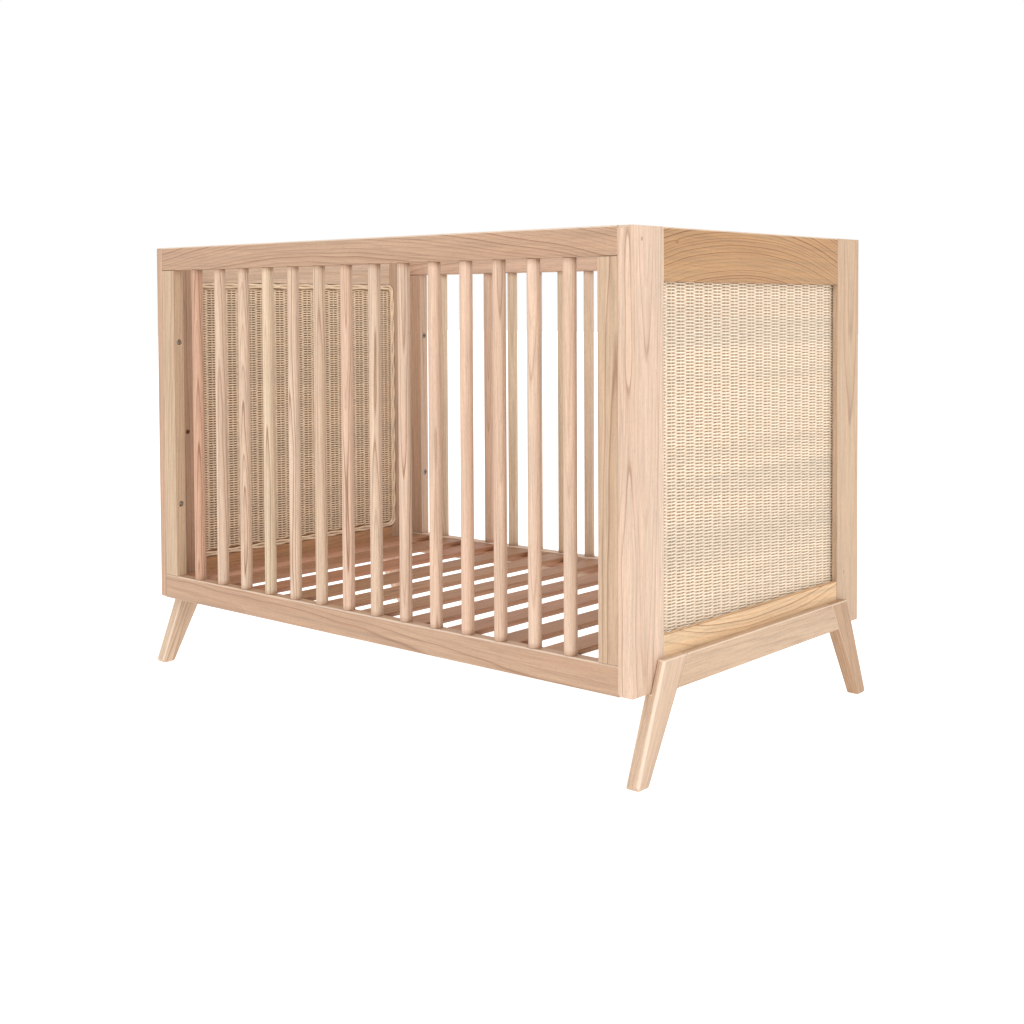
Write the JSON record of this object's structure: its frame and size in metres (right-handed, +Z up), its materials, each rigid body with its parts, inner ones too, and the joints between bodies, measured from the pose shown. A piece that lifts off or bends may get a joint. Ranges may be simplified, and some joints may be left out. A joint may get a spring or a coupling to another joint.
{
  "type": "baby crib",
  "caption": "Wooden baby crib with woven rattan end panels, spindle sides, a height-adjustable slatted mattress base and splayed tapered legs.",
  "frame": {"origin": "on the floor, under the middle of the crib's bounding box", "axes": "+X along the length towards the right end, +Y towards the back side, +Z up"},
  "size_m": [1.288, 0.7512, 0.888],
  "materials": {
    "pale_wood": "satin clear lacquer on pale pinkish knotty pine",
    "end_rail_wood": "satin clear lacquer on pine of a warmer orange tone",
    "base_wood": "planed bare pine",
    "rattan": "natural woven rattan, matt",
    "pin_steel": "zinc-plated"
  },
  "bodies": {
    "frame": {"post_front_left": "pale_wood", "leg_front_left": "pale_wood", "support_pin_front_left": "pin_steel", "post_back_left": "pale_wood", "leg_back_left": "pale_wood", "support_pin_back_left": "pin_steel", "end_top_rail_left": "end_rail_wood", "end_bottom_rail_left": "end_rail_wood", "rattan_panel_left": "rattan", "cross_rail_left": "pale_wood", "post_front_right": "pale_wood", "leg_front_right": "pale_wood", "support_pin_front_right": "pin_steel", "post_back_right": "pale_wood", "leg_back_right": "pale_wood", "support_pin_back_right": "pin_steel", "end_top_rail_right": "end_rail_wood", "end_bottom_rail_right": "end_rail_wood", "rattan_panel_right": "rattan", "cross_rail_right": "pale_wood", "top_rail_front": "pale_wood", "bottom_rail_front": "pale_wood", "stile_front_left": "pale_wood", "stile_front_right": "pale_wood", "spindle_front_01": "pale_wood", "spindle_front_02": "pale_wood", "spindle_front_03": "pale_wood", "spindle_front_04": "pale_wood", "spindle_front_05": "pale_wood", "spindle_front_06": "pale_wood", "spindle_front_07": "pale_wood", "spindle_front_08": "pale_wood", "spindle_front_09": "pale_wood", "spindle_front_10": "pale_wood", "spindle_front_11": "pale_wood", "spindle_front_12": "pale_wood", "spindle_front_13": "pale_wood", "spindle_front_14": "pale_wood", "top_rail_back": "pale_wood", "bottom_rail_back": "pale_wood", "stile_back_left": "pale_wood", "stile_back_right": "pale_wood", "spindle_back_01": "pale_wood", "spindle_back_02": "pale_wood", "spindle_back_03": "pale_wood", "spindle_back_04": "pale_wood", "spindle_back_05": "pale_wood", "spindle_back_06": "pale_wood", "spindle_back_07": "pale_wood", "spindle_back_08": "pale_wood", "spindle_back_09": "pale_wood", "spindle_back_10": "pale_wood", "spindle_back_11": "pale_wood", "spindle_back_12": "pale_wood", "spindle_back_13": "pale_wood", "spindle_back_14": "pale_wood"},
    "mattress_base": {"slat_deck": "base_wood", "base_end_rail_left": "base_wood", "base_end_rail_right": "base_wood"}
  },
  "joints": [
    {"name": "base_height", "type": "slide", "parent": "frame", "child": "mattress_base", "axis": [0, 0, 1], "range_m": [0, 0.3328]}
  ]
}
